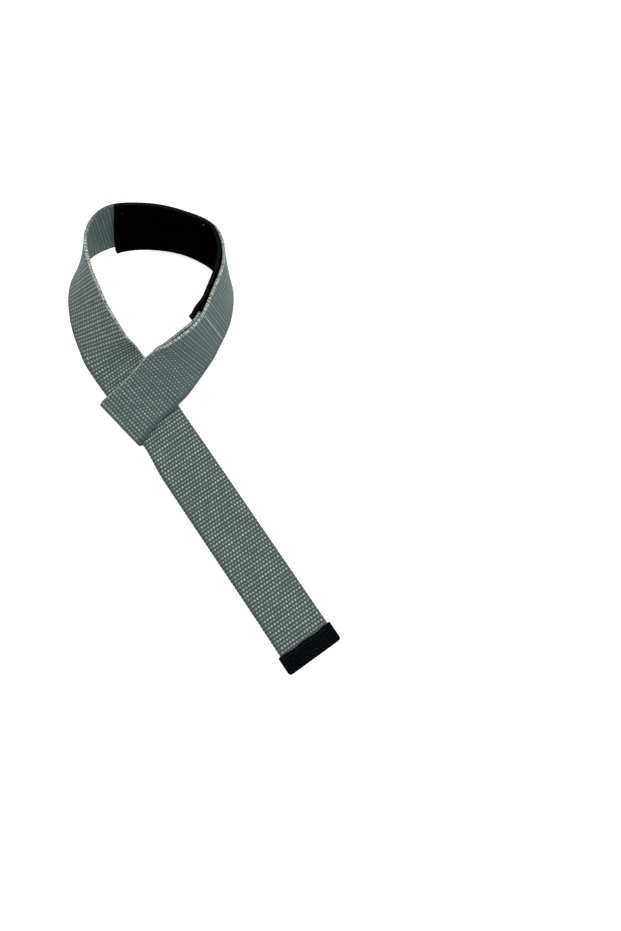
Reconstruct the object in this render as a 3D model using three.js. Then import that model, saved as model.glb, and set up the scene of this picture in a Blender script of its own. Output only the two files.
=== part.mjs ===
// A wrist strap for lifting: one length of heavy webbing whose end is folded back and sewn into
// an eye, with the tail threaded through it. It lies on a surface, the wrist loop standing on
// its edge. +Z is up, the surface is Z = 0, and the origin is the middle of the footprint.
import * as THREE from 'three';

// Driving sizes, in millimetres and degrees.
const webbingWidth = 38;
const webbingThickness = 2.4;
const selvedgeWidth = 1;
const selvedgeThickness = 1.2;
const tailLength = 206; // from the tip to the middle of the crossing
const loopLength = 365; // once round the wrist, from the crossing back to it
const turnbackLength = 97; // layer folded back under the band to make the eye
const padLength = 150;
const padThickness = 3;
const padOverhang = 2.4; // past each edge of the webbing
const padLap = 7; // over the cut end of the turned-back layer
const padBevel = 0.5;
const padStep = 12; // run-up over which the pad climbs onto the turned-back layer
const padTaper = 1.4; // less of that overhang above the inner edge at the lapped end
const taperReach = 70;
const padSkew = 8; // how much further along its inner edge starts at the end that is cut askew
const skewReach = 30; // over which the pad's sections straighten from that end
const skewGap = 0.35; // more room under the pad there, where the webbing twists most
const tapeReach = 11;
const tapeThickness = 0.8;
const tapeOverhang = 1.4; // past each edge of the webbing
const tapeCorner = 1.2; // rounding of the tip's corners
const clearance = 0.3; // between pieces and between layers
const tailHeading = 125;
const bandHeading = 224.5;
const facetLength = 5;
const foldFacets = 8;
const laidShare = 0.583; // of the turned-back layer, lying on the surface past the tail
const laidSlope = 2; // climb of the laid layer away from the fold
const laidTuck = 4; // how far its outer edge is tucked in where the tail leaves the eye
const peel = 0.9; // gap that opens between the sewn layers past the pad's end
const peelReach = 9; // from the pad's end to where that gap is widest
const pivotShare = 0.2; // of the width, from the middle to the line that the layer turns on
const probe = 0.5; // half of the distance over which a direction is measured

// The tail runs straight to the crossing, and back is the distance that is left to it. webs and
// tapes count the layers under it, lean tips its inner edge up, and tuck is the share of the
// width that the eye squeezes off its other edge.
const tailRows = [
  { back: tailLength, webs: 0, tapes: 1, lean: 0, tuck: 0 },
  { back: tailLength - 1.4 * tapeReach, webs: 0, tapes: 1, lean: 0, tuck: 0 },
  { back: tailLength - 1.4 * tapeReach - 0.6 * webbingWidth, webs: 0, tapes: 0, lean: 0, tuck: 0 },
  { back: 1.4 * webbingWidth, webs: 0, tapes: 0, lean: 0, tuck: 0 },
  { back: 0.7 * webbingWidth, webs: 1, tapes: 0, lean: 3, tuck: 0.06 },
  { back: 0, webs: 1, tapes: 0, lean: 3, tuck: 0.02 },
  { back: -0.52 * webbingWidth, webs: 1, tapes: 0, lean: 4, tuck: 0 },
];

// The loop, from the crossing round to the crossing again. along, x and y are shares of its
// length, lift is the height of its lower edge as a share of the width, and pads is 1 where
// the pad's edge is under it. It lies flat where lean is 0 and stands on edge where it is 90.
const loopRows = [
  { along: 0.098, x: -0.054, y: 0.076, lean: 7, lift: 0.07, webs: 1, pads: 0 },
  { along: 0.142, x: -0.07, y: 0.103, lean: 22, lift: 0.3, webs: 0, pads: 0 },
  { along: 0.209, x: -0.091, y: 0.156, lean: 35, lift: 0.47, webs: 0, pads: 0 },
  { along: 0.276, x: -0.103, y: 0.217, lean: 50, lift: 0.5, webs: 0, pads: 0 },
  { along: 0.342, x: -0.094, y: 0.28, lean: 75, lift: 0.41, webs: 0, pads: 0 },
  { along: 0.41, x: -0.0507, y: 0.3236, lean: 97, lift: 0.24, webs: 0, pads: 1 },
  { along: 0.476, x: 0.0121, y: 0.3348, lean: 101.5, lift: 0.135, webs: 0, pads: 1 },
  { along: 0.545, x: 0.077, y: 0.327, lean: 102.5, lift: 0.045, webs: 0, pads: 1 },
  { along: 0.61, x: 0.135, y: 0.298, lean: 104.5, lift: 0, webs: 0, pads: 1 },
  { along: 0.676, x: 0.16, y: 0.241, lean: 90, lift: 0, webs: 0, pads: 1 },
  { along: 0.745, x: 0.151, y: 0.175, lean: 78, lift: 0.03, webs: 0, pads: 1 },
  { along: 0.81, x: 0.126, y: 0.1145, lean: 75, lift: 0.035, webs: 0, pads: 1 },
  { along: 0.878, x: 0.081, y: 0.0695, lean: 56, lift: 0.04, webs: 0, pads: 0 },
  { along: 0.945, x: 0.0384, y: 0.0334, lean: 17, lift: 0.05, webs: 2, pads: 0 },
];

// The band over the tail, from the crossing to the fold, as shares of the eye's reach. The fold
// spreads it: flare is the share of the width that each edge gains.
const eyeRows = [
  { share: 0, lean: 3, lift: 0.035, flare: 0 },
  { share: 0.5, lean: 2, lift: 0.02, flare: 0.02 },
  { share: 1, lean: 0, lift: 0, flare: 0.045 },
];

const radians = THREE.MathUtils.degToRad;
const smooth = THREE.MathUtils.smoothstep;
const layer = webbingThickness + clearance;
const heading = (degrees) => new THREE.Vector3(Math.cos(radians(degrees)), Math.sin(radians(degrees)), 0);
const tailWay = heading(tailHeading);
const bandWay = heading(bandHeading);
const eyeReach = 0.5 * webbingWidth / Math.cos(radians(bandHeading - tailHeading - 90));
const crossingAlong = tailLength + loopLength;
const foldAlong = crossingAlong + eyeReach;
const turnbackEnd = foldAlong - turnbackLength;

const stations = [
  ...tailRows.map((row) => ({
    ...row,
    along: tailLength - row.back,
    x: -tailWay.x * row.back,
    y: -tailWay.y * row.back,
    lift: 0,
    pads: 0,
    flare: 0,
  })),
  ...loopRows.map((row) => ({
    ...row,
    along: tailLength + row.along * loopLength,
    x: row.x * loopLength,
    y: row.y * loopLength,
    tapes: 0,
    tuck: 0,
    flare: 0,
  })),
  ...eyeRows.map((row) => ({
    ...row,
    along: crossingAlong + row.share * eyeReach,
    x: bandWay.x * row.share * eyeReach,
    y: bandWay.y * row.share * eyeReach,
    webs: 2,
    tapes: 0,
    pads: 0,
    tuck: 0,
  })),
];

function rowBefore(along) {
  const after = stations.findIndex((row) => row.along > along);
  return after < 0 ? stations.length - 2 : Math.max(after - 1, 0);
}

// One column of the stations as a smooth curve through every row.
function glide(column, along) {
  const i = rowBefore(along);
  const [a, b] = [stations[i], stations[i + 1]];
  const span = b.along - a.along;
  const rate = (p, q) => span * (q[column] - p[column]) / (q.along - p.along);
  const start = rate(stations[Math.max(i - 1, 0)], b);
  const end = rate(a, stations[Math.min(i + 2, stations.length - 1)]);
  const u = (along - a.along) / span;
  return a[column] * (1 - 3 * u ** 2 + 2 * u ** 3) + b[column] * (3 * u ** 2 - 2 * u ** 3)
    + start * (u - 2 * u ** 2 + u ** 3) + end * (u ** 3 - u ** 2);
}

// One column as level stretches joined by ramps.
function ramp(column, along) {
  const i = rowBefore(along);
  const [a, b] = [stations[i], stations[i + 1]];
  return THREE.MathUtils.lerp(a[column], b[column], smooth(along, a.along, b.along));
}

// The middle of the webbing at a distance from the tip, its lower edge clear of what is below.
function middle(along) {
  const lean = radians(glide('lean', along));
  const halfWidth = 0.5 * webbingWidth * Math.abs(Math.sin(lean));
  const halfThickness = 0.5 * webbingThickness * Math.abs(Math.cos(lean));
  const under = ramp('webs', along) * layer + ramp('tapes', along) * (tapeThickness + clearance)
    + ramp('pads', along) * padOverhang;
  const lift = Math.max(glide('lift', along), 0) * webbingWidth;
  return new THREE.Vector3(glide('x', along), glide('y', along), halfWidth + halfThickness + under + lift);
}

// Across the strap towards its inner edge, at a lean.
function acrossAt(travel, lean) {
  const level = new THREE.Vector3(travel.y, -travel.x, 0).normalize();
  const upward = new THREE.Vector3().crossVectors(level, travel);
  return level.multiplyScalar(Math.cos(lean)).addScaledVector(upward, Math.sin(lean));
}

// The webbing's section there: its middle, its directions, and its reach to each edge.
function section(along) {
  const travel = middle(along + probe).sub(middle(along - probe)).normalize();
  const across = acrossAt(travel, radians(glide('lean', along)));
  const face = new THREE.Vector3().crossVectors(across, travel);
  const inner = (0.5 + ramp('flare', along)) * webbingWidth;
  const outer = inner - ramp('tuck', along) * webbingWidth;
  return { along, at: middle(along), travel, across, face, inner, outer };
}

// The turned-back layer: laid on the surface under the tail, then sewn to the band's inner side.
const seamStart = foldAlong - laidShare * turnbackLength;
const tailEdge = crossingAlong - eyeReach;
const laidClimb = Math.tan(radians(laidSlope));
const pivotReach = pivotShare * webbingWidth;

function peelAt(along) {
  const widest = padEnd + peelReach;
  return peel * smooth(along, padEnd, widest) * (1 - smooth(along, widest, seamStart));
}

function turnback(along) {
  const { at, travel, across: bandAcross, face: bandFace, inner } = section(along);
  const laid = smooth(along, seamStart, tailEdge);
  const pivot = at.addScaledVector(bandAcross, -pivotReach);
  const flat = pivot.clone().setZ(0.5 * webbingThickness + (foldAlong - along) * laidClimb);
  const sewn = pivot.addScaledVector(bandFace, -layer - peelAt(along));
  const across = acrossAt(travel, (1 - laid) * radians(glide('lean', along)));
  const face = new THREE.Vector3().crossVectors(travel, across);
  const outer = inner - laidTuck * laid * smooth(foldAlong - along, 0, eyeReach);
  const middleAt = sewn.lerp(flat, laid).addScaledVector(across, pivotReach);
  return { along, at: middleAt, across, face, inner, outer };
}

// Every piece is cut at the same places along the strap, so facets of neighbours lie parallel.
const padEnd = turnbackEnd + padLap;
const padStart = padEnd - padLength;
const straightRows = 3; // the tail's first rows, which need no facets between them
const breaks = [...stations.slice(straightRows).map(({ along }) => along), padStart, turnbackEnd, padEnd];
breaks.sort((a, b) => a - b);
const facets = breaks.slice(1).flatMap((end, i) => {
  const count = Math.ceil((end - breaks[i]) / facetLength);
  return Array.from({ length: count }, (_, k) => THREE.MathUtils.lerp(breaks[i], end, k / count));
}).concat(foldAlong);
const cuts = (from, to) => facets.filter((along) => along >= from && along <= to);

// A closed body through the sections of a flat strip with thinner edges, capped at its ends.
// Each facet splits from the inner edge's earlier corner, so that layers side by side match.
function strip(sections, thickness, edgeThickness, edgeWidth) {
  const half = 0.5 * thickness;
  const edge = 0.5 * edgeThickness;
  const points = sections.flatMap(({ at, across, face, inner, outer }) => [
    [inner, -edge], [inner, edge], [inner - edgeWidth, half], [edgeWidth - outer, half],
    [-outer, edge], [-outer, -edge], [edgeWidth - outer, -half], [inner - edgeWidth, -half],
  ].map(([a, b]) => at.clone().addScaledVector(across, a).addScaledVector(face, b)));
  const corners = points.length / sections.length;
  const last = points.length - corners;
  const faces = [];
  for (let i = 0; i < sections.length - 1; i += 1) {
    const returning = sections[i + 1].along < sections[i].along;
    for (let k = 0; k < corners; k += 1) {
      const [a, b] = [i * corners + k, i * corners + (k + 1) % corners];
      const [c, d] = [a + corners, b + corners];
      if ((k < 0.5 * corners) !== returning) faces.push(a, d, b, a, c, d);
      else faces.push(a, c, b, b, c, d);
    }
  }
  for (let k = 1; k < corners - 1; k += 1) faces.push(0, k, k + 1, last, last + k + 1, last + k);
  const geometry = new THREE.BufferGeometry().setFromPoints(points);
  geometry.setIndex(faces);
  geometry.computeVertexNormals();
  return geometry;
}

// Sections round a half turn in the upright plane of one direction, the upper face first.
function halfTurn(pivot, way, radius, base) {
  return Array.from({ length: foldFacets + 1 }, (_, k) => {
    const angle = Math.PI * k / foldFacets;
    const face = way.clone().multiplyScalar(Math.sin(angle)).setZ(Math.cos(angle));
    return { ...base, at: pivot.clone().addScaledVector(face, radius), face };
  });
}

function makeWebbing() {
  const [tip, tapeEnd, straightFrom] = stations;
  const over = section(foldAlong);
  const under = turnback(foldAlong);
  const radius = 0.5 * (over.at.z - under.at.z);
  const fold = halfTurn(over.at.clone().lerp(under.at, 0.5), bandWay, radius, over).slice(1, -1);
  const tail = [tip.along, tapeEnd.along, 0.5 * (tapeEnd.along + straightFrom.along), straightFrom.along];
  return strip([
    ...[...tail, ...facets].map(section),
    ...fold,
    ...cuts(turnbackEnd, foldAlong).reverse().map(turnback),
  ], webbingThickness, selvedgeThickness, selvedgeWidth);
}

// The pad lies on the webbing's inner face and steps over the end of the turned-back layer. Its
// sections slant near the end that is cut askew.
function makePad() {
  const base = 0.5 * webbingThickness + clearance + 0.5 * padThickness;
  const half = 0.5 * webbingWidth + padOverhang;
  const climbEnd = turnbackEnd - clearance;
  const sections = cuts(padStart, padEnd).map((along) => {
    const slant = padSkew * (1 - smooth(along, padStart, padStart + skewReach));
    const climb = smooth(along, climbEnd - padStep, climbEnd) * layer + skewGap * slant / padSkew;
    const innerHalf = half - padTaper * smooth(along, padEnd - taperReach, padEnd);
    const [outerEdge, innerEdge] = [[along, -half], [along + slant, innerHalf]].map(([place, side]) => {
      const { at, across, face } = section(place);
      return at.addScaledVector(face, -base - climb).addScaledVector(across, side);
    });
    const across = innerEdge.clone().sub(outerEdge);
    const reach = 0.5 * across.length();
    const { face } = section(along + 0.5 * slant);
    const at = innerEdge.lerp(outerEdge, 0.5);
    return { along, at, across: across.normalize(), face, inner: reach, outer: reach };
  });
  return strip(sections, padThickness, padThickness - 2 * padBevel, padBevel);
}

// The tape is folded over the tip: one layer on top, one below, its corners rounded.
function makeBinding() {
  const { at, across, travel } = section(0);
  const way = travel.setZ(0).normalize();
  const radius = 0.5 * webbingThickness + clearance + 0.5 * tapeThickness;
  const half = 0.5 * webbingWidth + tapeOverhang;
  const base = { across: across.negate(), inner: half, outer: half };
  const turn = halfTurn(at, way.clone().negate(), radius, base);
  for (const one of turn) {
    one.inner -= tapeCorner * (1 - Math.abs(one.face.z));
    one.outer = one.inner;
  }
  const farEnd = (one) => ({ ...one, at: one.at.clone().addScaledVector(way, tapeReach) });
  const sections = [farEnd(turn[0]), ...turn, farEnd(turn[foldFacets])];
  return strip(sections, tapeThickness, tapeThickness, 0.5 * tapeOverhang);
}

function piece(name, geometry, color, roughness) {
  const mesh = new THREE.Mesh(geometry, new THREE.MeshStandardMaterial({ color, roughness, metalness: 0 }));
  mesh.name = name;
  return mesh;
}

const group = new THREE.Group();
group.add(
  piece('webbing', makeWebbing(), 0x6f7d78, 0.85),
  piece('wrist_pad', makePad(), 0x15171b, 0.7),
  piece('tip_binding', makeBinding(), 0x14161a, 0.8),
);
const footprint = new THREE.Box3().setFromObject(group);
const centre = footprint.getCenter(new THREE.Vector3());
group.position.set(-centre.x, -centre.y, -footprint.min.z);

export default group;
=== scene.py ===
"""A wrist strap for lifting, dressed for a studio picture.

One length of heavy webbing makes the tail, the wrist loop and the band over the tail, and its
end is turned back to make the eye. A black pad lines the loop and a black tape binds the tip.
"""
import logging
import math
from dataclasses import dataclass, fields
from enum import Enum

import bpy
import numpy as np
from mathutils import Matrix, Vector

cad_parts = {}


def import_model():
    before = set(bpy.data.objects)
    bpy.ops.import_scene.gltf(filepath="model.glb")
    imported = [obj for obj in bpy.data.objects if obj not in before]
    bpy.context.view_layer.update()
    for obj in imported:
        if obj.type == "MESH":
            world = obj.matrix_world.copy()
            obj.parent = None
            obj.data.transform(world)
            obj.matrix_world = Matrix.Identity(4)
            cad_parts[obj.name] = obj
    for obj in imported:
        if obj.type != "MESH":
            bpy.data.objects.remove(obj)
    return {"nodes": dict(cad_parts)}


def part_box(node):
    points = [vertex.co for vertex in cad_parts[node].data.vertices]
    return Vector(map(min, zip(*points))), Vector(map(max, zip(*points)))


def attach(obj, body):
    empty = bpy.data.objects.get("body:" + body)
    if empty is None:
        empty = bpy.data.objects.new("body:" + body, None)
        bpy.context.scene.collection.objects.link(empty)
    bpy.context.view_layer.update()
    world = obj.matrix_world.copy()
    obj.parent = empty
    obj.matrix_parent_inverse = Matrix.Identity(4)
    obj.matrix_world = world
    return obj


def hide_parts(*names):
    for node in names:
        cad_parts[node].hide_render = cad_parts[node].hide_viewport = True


LOG = logging.getLogger("lifting_strap")
MM = 0.001
FULL_TURN = 2 * math.pi
TURNBACK_SEAM_INSET = 1 * MM
TAPE_SEAM_INSET = 2 * MM
PLACE = "strap_place"  # attribute: across in metres, distance from the tip in metres, edge share
MATH = "ShaderNodeMath"
BLEND = {"kind": "ShaderNodeMix", "output": 2, "data_type": "RGBA", "clamp_factor": True}
BASE = 6  # the inputs of a Mix node's two colours
TOP = 7
Socket = bpy.types.NodeSocket


class Edge(Enum):
    """The two edges of the webbing, by the sign of their places across."""

    INNER = 1
    OUTER = -1


@dataclass(frozen=True)
class StrapSizes:
    """The strap's driving sizes, in metres and degrees, as the part's source has them."""

    webbing_width: float = 38 * MM
    webbing_thickness: float = 2.4 * MM
    selvedge_width: float = 1 * MM
    selvedge_thickness: float = 1.2 * MM
    tail_length: float = 206 * MM
    loop_length: float = 365 * MM
    turnback_length: float = 97 * MM
    pad_length: float = 150 * MM
    pad_thickness: float = 3 * MM
    pad_overhang: float = 2.4 * MM
    pad_lap: float = 7 * MM
    pad_taper: float = 1.4 * MM
    taper_reach: float = 70 * MM
    pad_skew: float = 8 * MM
    pad_step: float = 12 * MM
    skew_reach: float = 30 * MM
    skew_gap: float = 0.35 * MM
    tape_reach: float = 11 * MM
    tape_thickness: float = 0.8 * MM
    tape_overhang: float = 1.4 * MM
    tape_corner: float = 1.2 * MM
    clearance: float = 0.3 * MM
    tail_heading: float = 125.0
    band_heading: float = 224.5
    laid_share: float = 0.583
    laid_slope: float = 2.0
    laid_tuck: float = 4 * MM
    peel: float = 0.9 * MM
    peel_reach: float = 9 * MM
    pivot_share: float = 0.2

    @property
    def layer(self) -> float:
        """Distance between the middles of two layers that lie on each other."""
        return self.webbing_thickness + self.clearance

    @property
    def eye_reach(self) -> float:
        """From the middle of the crossing along the band to the fold."""
        skew = math.radians(self.band_heading - self.tail_heading - 90)
        return 0.5 * self.webbing_width / math.cos(skew)

    @property
    def crossing_along(self) -> float:
        """Distance from the tip to the crossing, once round the loop."""
        return self.tail_length + self.loop_length

    @property
    def fold_along(self) -> float:
        """Distance from the tip to the fold."""
        return self.crossing_along + self.eye_reach

    @property
    def turnback_end(self) -> float:
        """Where the turned-back layer is cut, measured along the band above it."""
        return self.fold_along - self.turnback_length

    @property
    def pad_end(self) -> float:
        """The pad's end over the cut end of the turned-back layer."""
        return self.turnback_end + self.pad_lap

    @property
    def pad_start(self) -> float:
        """The pad's other end."""
        return self.pad_end - self.pad_length


@dataclass(frozen=True)
class TailRow:
    """A station of the tail: back is the distance left to the crossing."""

    back: float
    webs: float = 0
    tapes: float = 0
    lean: float = 0
    tuck: float = 0


@dataclass(frozen=True)
class LoopRow:
    """A station of the loop, in shares of its length, and of the width for the lift."""

    along: float
    x: float
    y: float
    lean: float
    lift: float
    webs: float = 0
    pads: float = 0


@dataclass(frozen=True)
class EyeRow:
    """A station of the band over the tail, in shares of the eye's reach."""

    share: float
    lean: float = 0
    lift: float = 0
    flare: float = 0


LOOP_ROWS = (
    LoopRow(along=0.098, x=-0.054, y=0.076, lean=7, lift=0.07, webs=1),
    LoopRow(along=0.142, x=-0.07, y=0.103, lean=22, lift=0.3),
    LoopRow(along=0.209, x=-0.091, y=0.156, lean=35, lift=0.47),
    LoopRow(along=0.276, x=-0.103, y=0.217, lean=50, lift=0.5),
    LoopRow(along=0.342, x=-0.094, y=0.28, lean=75, lift=0.41),
    LoopRow(along=0.41, x=-0.0507, y=0.3236, lean=97, lift=0.24, pads=1),
    LoopRow(along=0.476, x=0.0121, y=0.3348, lean=101.5, lift=0.135, pads=1),
    LoopRow(along=0.545, x=0.077, y=0.327, lean=102.5, lift=0.045, pads=1),
    LoopRow(along=0.61, x=0.135, y=0.298, lean=104.5, lift=0, pads=1),
    LoopRow(along=0.676, x=0.16, y=0.241, lean=90, lift=0, pads=1),
    LoopRow(along=0.745, x=0.151, y=0.175, lean=78, lift=0.03, pads=1),
    LoopRow(along=0.81, x=0.126, y=0.1145, lean=75, lift=0.035, pads=1),
    LoopRow(along=0.878, x=0.081, y=0.0695, lean=56, lift=0.04),
    LoopRow(along=0.945, x=0.0384, y=0.0334, lean=17, lift=0.05, webs=2),
)
EYE_ROWS = (
    EyeRow(share=0, lean=3, lift=0.035),
    EyeRow(share=0.5, lean=2, lift=0.02, flare=0.02),
    EyeRow(share=1, flare=0.045),
)


@dataclass(frozen=True)
class Station:
    """A place on the webbing's way, in metres and degrees, with the layers that lie under it.

    The lift, the tuck and the flare are shares of the webbing's width.
    """

    along: float
    x: float
    y: float
    lean: float
    lift: float = 0.0
    webs: float = 0.0
    tapes: float = 0.0
    pads: float = 0.0
    tuck: float = 0.0
    flare: float = 0.0


def tail_rows(sizes: StrapSizes) -> tuple[TailRow, ...]:
    """The tail's stations, from the tip to past the crossing.

    The tail lies level on the tape, comes down to the surface, and passes under the band, whose
    edge draws its outer side in.

    Args:
        sizes: the strap's driving sizes.

    Returns:
        The rows, in order from the tip.
    """
    width = sizes.webbing_width
    taped = sizes.tail_length - 1.4 * sizes.tape_reach
    return (
        TailRow(back=sizes.tail_length, tapes=1),
        TailRow(back=taped, tapes=1),
        TailRow(back=taped - 0.6 * width),
        TailRow(back=1.4 * width),
        TailRow(back=0.7 * width, webs=1, lean=3, tuck=0.06),
        TailRow(back=0, webs=1, lean=3, tuck=0.02),
        TailRow(back=-0.52 * width, webs=1, lean=4),
    )


def smooth(value: np.ndarray, low: np.ndarray | float, high: np.ndarray | float) -> np.ndarray:
    """A smooth step from 0 at low to 1 at high."""
    t = np.clip((value - low) / (high - low), 0, 1)
    return t * t * (3 - 2 * t)


def unit(vectors: np.ndarray) -> np.ndarray:
    """Rows of vectors at length 1."""
    return vectors / np.linalg.norm(vectors, axis=-1, keepdims=True)


@dataclass
class Sections:
    """A run of cross-sections of the strap, one row of each array for each section."""

    distance: np.ndarray
    at: np.ndarray
    across: np.ndarray
    face: np.ndarray
    inner: np.ndarray
    outer: np.ndarray
    travel: np.ndarray | None = None

    def joined(self, *others: "Sections") -> "Sections":
        """Joins runs end to end.

        Args:
            others: the runs that follow this one.

        Returns:
            One run, without its directions of travel.
        """
        runs = (self, *others)
        names = ("distance", "at", "across", "face", "inner", "outer")
        return Sections(*(np.concatenate([getattr(run, name) for run in runs]) for name in names))


class StrapPath:
    """The way that the strap takes, as smooth curves through its stations."""

    PROBE = 0.5 * MM

    def __init__(self, sizes: StrapSizes) -> None:
        """Makes the table of stations.

        Args:
            sizes: the strap's driving sizes.
        """
        self.sizes = sizes
        self.origin = np.zeros(3)
        self.seam_start = sizes.fold_along - sizes.laid_share * sizes.turnback_length
        tail_way = self.heading(sizes.tail_heading)
        self.band_way = self.heading(sizes.band_heading)
        stations = []
        for row in tail_rows(sizes):
            x, y, _ = -tail_way * row.back
            stations.append(Station(sizes.tail_length - row.back, x, y, row.lean, webs=row.webs,
                                    tapes=row.tapes, tuck=row.tuck))
        for row in LOOP_ROWS:
            along = sizes.tail_length + row.along * sizes.loop_length
            stations.append(Station(along, row.x * sizes.loop_length, row.y * sizes.loop_length,
                                    row.lean, row.lift, webs=row.webs, pads=row.pads))
        for row in EYE_ROWS:
            x, y, _ = self.band_way * row.share * sizes.eye_reach
            along = sizes.crossing_along + row.share * sizes.eye_reach
            stations.append(Station(along, x, y, row.lean, row.lift, webs=2, flare=row.flare))
        names = [field.name for field in fields(Station)]
        self.columns = {name: np.array([getattr(row, name) for row in stations], float) for name in names}

    @staticmethod
    def heading(degrees: float) -> np.ndarray:
        """A level direction."""
        return np.array([math.cos(math.radians(degrees)), math.sin(math.radians(degrees)), 0.0])

    def _before(self, along: np.ndarray) -> np.ndarray:
        """The station before each distance."""
        knots = self.columns["along"]
        return np.clip(np.searchsorted(knots, along, side="right") - 1, 0, len(knots) - 2)

    def glide(self, column: str, along: np.ndarray) -> np.ndarray:
        """One column of the stations as a smooth curve through every row.

        Args:
            column: the column's name.
            along: distances from the tip.

        Returns:
            The column's value at each distance.
        """
        knots = self.columns["along"]
        values = self.columns[column]
        i = self._before(along)
        before = np.maximum(i - 1, 0)
        after = np.minimum(i + 2, len(knots) - 1)
        span = knots[i + 1] - knots[i]
        start = span * (values[i + 1] - values[before]) / (knots[i + 1] - knots[before])
        end = span * (values[after] - values[i]) / (knots[after] - knots[i])
        u = (along - knots[i]) / span
        return (values[i] * (1 - 3 * u**2 + 2 * u**3) + values[i + 1] * (3 * u**2 - 2 * u**3)
                + start * (u - 2 * u**2 + u**3) + end * (u**3 - u**2))

    def ramp(self, column: str, along: np.ndarray) -> np.ndarray:
        """One column of the stations as level stretches joined by ramps.

        Args:
            column: the column's name.
            along: distances from the tip.

        Returns:
            The column's value at each distance.
        """
        knots = self.columns["along"]
        values = self.columns[column]
        i = self._before(along)
        return values[i] + (values[i + 1] - values[i]) * smooth(along, knots[i], knots[i + 1])

    def middle(self, along: np.ndarray) -> np.ndarray:
        """The middle of the webbing, its lower edge clear of what is below.

        Args:
            along: distances from the tip.

        Returns:
            A point for each distance.
        """
        sizes = self.sizes
        lean = np.radians(self.glide("lean", along))
        rise = sizes.webbing_width * abs(np.sin(lean)) + sizes.webbing_thickness * abs(np.cos(lean))
        under = (self.ramp("webs", along) * sizes.layer
                 + self.ramp("tapes", along) * (sizes.tape_thickness + sizes.clearance)
                 + self.ramp("pads", along) * sizes.pad_overhang)
        lift = np.maximum(self.glide("lift", along), 0) * sizes.webbing_width
        height = 0.5 * rise + under + lift
        return np.stack([self.glide("x", along), self.glide("y", along), height], axis=-1)

    @staticmethod
    def across_at(travel: np.ndarray, lean: np.ndarray) -> np.ndarray:
        """The directions across the strap, towards its inner edge.

        Args:
            travel: the strap's direction of travel in each row.
            lean: its lean in radians.

        Returns:
            A direction for each row.
        """
        level = unit(np.stack([travel[:, 1], -travel[:, 0], np.zeros(len(travel))], axis=-1))
        upward = np.cross(level, travel)
        return level * np.cos(lean)[:, None] + upward * np.sin(lean)[:, None]

    def sections(self, along: np.ndarray) -> Sections:
        """The webbing's sections.

        Args:
            along: distances from the tip.

        Returns:
            A section for each distance.
        """
        width = self.sizes.webbing_width
        travel = unit(self.middle(along + self.PROBE) - self.middle(along - self.PROBE))
        across = self.across_at(travel, np.radians(self.glide("lean", along)))
        inner = (0.5 + self.ramp("flare", along)) * width
        outer = inner - self.ramp("tuck", along) * width
        at = self.origin + self.middle(along)
        return Sections(along, at, across, np.cross(across, travel), inner, outer, travel)

    def peel(self, along: np.ndarray) -> np.ndarray:
        """The gap that opens between the sewn layers past the pad's end.

        Args:
            along: distances measured along the band.

        Returns:
            The gap that is added at each distance.
        """
        sizes = self.sizes
        widest = sizes.pad_end + sizes.peel_reach
        opening = smooth(along, sizes.pad_end, widest)
        return sizes.peel * opening * (1 - smooth(along, widest, self.seam_start))

    def turnback(self, along: np.ndarray) -> Sections:
        """Sections of the turned-back layer: laid under the tail, then sewn to the band.

        Args:
            along: distances measured along the band above it.

        Returns:
            The sections, their distance measured along the webbing past the fold.
        """
        sizes = self.sizes
        band = self.sections(along)
        laid = smooth(along, self.seam_start, sizes.crossing_along - sizes.eye_reach)
        reach = sizes.pivot_share * sizes.webbing_width
        pivot = band.at - band.across * reach
        flat = pivot.copy()
        climb = math.tan(math.radians(sizes.laid_slope))
        flat[:, 2] = self.origin[2] + 0.5 * sizes.webbing_thickness + (sizes.fold_along - along) * climb
        sewn = pivot - band.face * (sizes.layer + self.peel(along))[:, None]
        across = self.across_at(band.travel, (1 - laid) * np.radians(self.glide("lean", along)))
        at = sewn + (flat - sewn) * laid[:, None] + across * reach
        face = np.cross(band.travel, across)
        outer = band.inner - sizes.laid_tuck * laid * smooth(sizes.fold_along - along, 0, sizes.eye_reach)
        return Sections(2 * sizes.fold_along - along, at, across, face, band.inner, outer)


def half_turn(pivot: np.ndarray, way: np.ndarray, radius: float,
              count: int) -> tuple[np.ndarray, np.ndarray]:
    """Points and faces round a half turn in the upright plane of one direction.

    Args:
        pivot: the middle of the turn.
        way: the level direction that the turn bulges to.
        radius: the turn's radius.
        count: the number of steps.

    Returns:
        The points and the outward directions, from the top to the bottom.
    """
    angle = np.linspace(0, math.pi, count + 1)
    face = way * np.sin(angle)[:, None] + np.array([0, 0, 1.0]) * np.cos(angle)[:, None]
    return pivot + face * radius, face


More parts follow.
